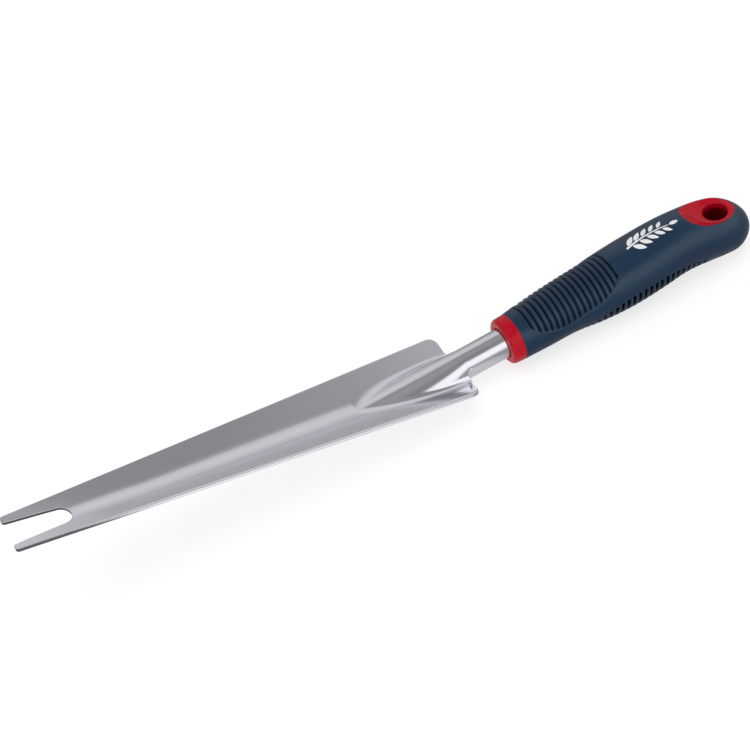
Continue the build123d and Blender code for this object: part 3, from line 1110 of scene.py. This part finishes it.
def make_world():
    """Light tent: bright soft walls, a darker horizon and a dark opening overhead."""
    world = bpy.data.worlds.new("studio")
    bpy.context.scene.world = world
    world.use_nodes = True
    tree = world.node_tree
    background = tree.nodes["Background"]
    place = tree.nodes.new("ShaderNodeTexCoord")
    parts = tree.nodes.new("ShaderNodeSeparateXYZ")
    tree.links.new(place.outputs["Generated"], parts.inputs["Vector"])

    def height_curve(stops):
        lift = tree.nodes.new("ShaderNodeMapRange")
        lift.inputs["From Min"].default_value = -1
        tree.links.new(parts.outputs["Z"], lift.inputs["Value"])
        curve = tree.nodes.new("ShaderNodeValToRGB")
        set_ramp(curve, [((height + 1) / 2, value) for height, value in stops])
        tree.links.new(lift.outputs["Result"], curve.inputs["Fac"])
        return curve.outputs["Color"]

    side = tree.nodes.new("ShaderNodeMapRange")
    side.interpolation_type = "SMOOTHSTEP"
    side.inputs["From Min"].default_value = -side_blend
    side.inputs["From Max"].default_value = side_blend
    tree.links.new(parts.outputs["Y"], side.inputs["Value"])
    walls = tree.nodes.new("ShaderNodeMix")
    walls.data_type = "RGBA"
    tree.links.new(side.outputs["Result"], walls.inputs["Factor"])
    tree.links.new(height_curve(near_studio), walls.inputs["A"])
    tree.links.new(height_curve(far_studio), walls.inputs["B"])
    seen = tree.nodes.new("ShaderNodeLightPath")
    backdrop = tree.nodes.new("ShaderNodeMix")
    backdrop.data_type = "RGBA"
    backdrop.inputs["B"].default_value = backdrop_white
    tree.links.new(seen.outputs["Is Camera Ray"], backdrop.inputs["Factor"])
    tree.links.new(walls.outputs["Result"], backdrop.inputs["A"])
    tree.links.new(backdrop.outputs["Result"], background.inputs["Color"])


def make_light(name, place, aim, size, watts):
    """A large soft lamp that lights the floor and the handle but isn't mirrored in the steel."""
    data = bpy.data.lights.new(name, "AREA")
    data.shape = "DISK"
    data.size = size * MM
    data.energy = watts
    lamp = bpy.data.objects.new(name, data)
    bpy.context.scene.collection.objects.link(lamp)
    lamp.location = Vector(place) * MM
    lamp.rotation_mode = "QUATERNION"
    lamp.rotation_quaternion = (Vector(aim) - Vector(place)).to_track_quat("-Z", "Y")
    lamp.visible_glossy = False
    lamp.visible_camera = False


# ---------------------------------------------------------------- camera
camera_aim = Vector((-168.70, 24.96, -6.47))
camera_distance = 780.0
camera_azimuth = radians(-19.11)
camera_elevation = radians(46.55)
camera_roll = radians(-14.27)
camera_lens = 83.66
camera_sensor = 36
camera_clip = (0.01, 50)        # metres


def make_camera():
    data = bpy.data.cameras.new("camera")
    data.lens = camera_lens
    data.sensor_width = camera_sensor
    data.clip_start, data.clip_end = camera_clip
    camera = bpy.data.objects.new("camera", data)
    bpy.context.scene.collection.objects.link(camera)
    level = cos(camera_elevation)
    back = Vector((sin(camera_azimuth) * level, -cos(camera_azimuth) * level, sin(camera_elevation)))
    turned = (-back).to_track_quat("-Z", "Y").to_matrix().to_4x4() @ Matrix.Rotation(camera_roll, 4, "Z")
    camera.matrix_world = Matrix.Translation((camera_aim + camera_distance * back) * MM) @ turned
    bpy.context.scene.camera = camera


# ================================================================ the tool
def dress(node, material):
    """Gives a hidden CAD node its only material."""
    node.data.materials.clear()
    node.data.materials.append(material)


make_blade(steel("polished_steel", (0.72, 0.71, 0.77), (0.78, 0.77, 0.83), (0.07, 0.14)))
make_core(
    moulded(
        "gloss_red",
        dark=(0.41, 0.001, 0.012),
        light=(0.47, 0.002, 0.016),
        roughness=(0.16, 0.24),
        shine=0.18,
        grain=1500,
        relief=0.04,
        # colour of the painted shade in the bore
        painted_shade_colour=(0.13, 0.0005, 0.004),
    )
)
make_grip(
    moulded(
        "navy_soft_grip",
        dark=(0.002, 0.016, 0.046),
        light=(0.004, 0.021, 0.057),
        roughness=(0.26, 0.38),
        shine=0.55,
        grain=3500,
        relief=0.25,
        # colour of the painted shade in the rib grooves, slots and the walls under the openings' edges
        painted_shade_colour=(0.001, 0.002, 0.003),
        tint=(0.75, 0.95, 1.0),
    )
)
make_mark(
    moulded(
        "white_ink",
        dark=(0.72, 0.73, 0.74),
        light=(0.84, 0.84, 0.85),
        roughness=(0.45, 0.60),
        shine=0.40,
        grain=4000,
        relief=0.20,
    )
)
drawn_wire = steel("drawn_wire", (0.55, 0.55, 0.56), (0.62, 0.62, 0.63), (0.28, 0.40))
dress(frame["nodes"]["retaining_pin"], drawn_wire)
dress(
    frame["nodes"]["neck_plug"],
    moulded(
        "black_plug",
        dark=(0.010, 0.010, 0.011),
        light=(0.018, 0.018, 0.019),
        roughness=(0.40, 0.55),
        shine=0.40,
        grain=2500,
        relief=0.30,
    ),
)

make_floor()
make_world()
make_light("overhead", (-170, -150, 1500), (-170, 0, 0), 1400, 8)
make_camera()
bpy.context.scene.view_settings.view_transform = "Standard"
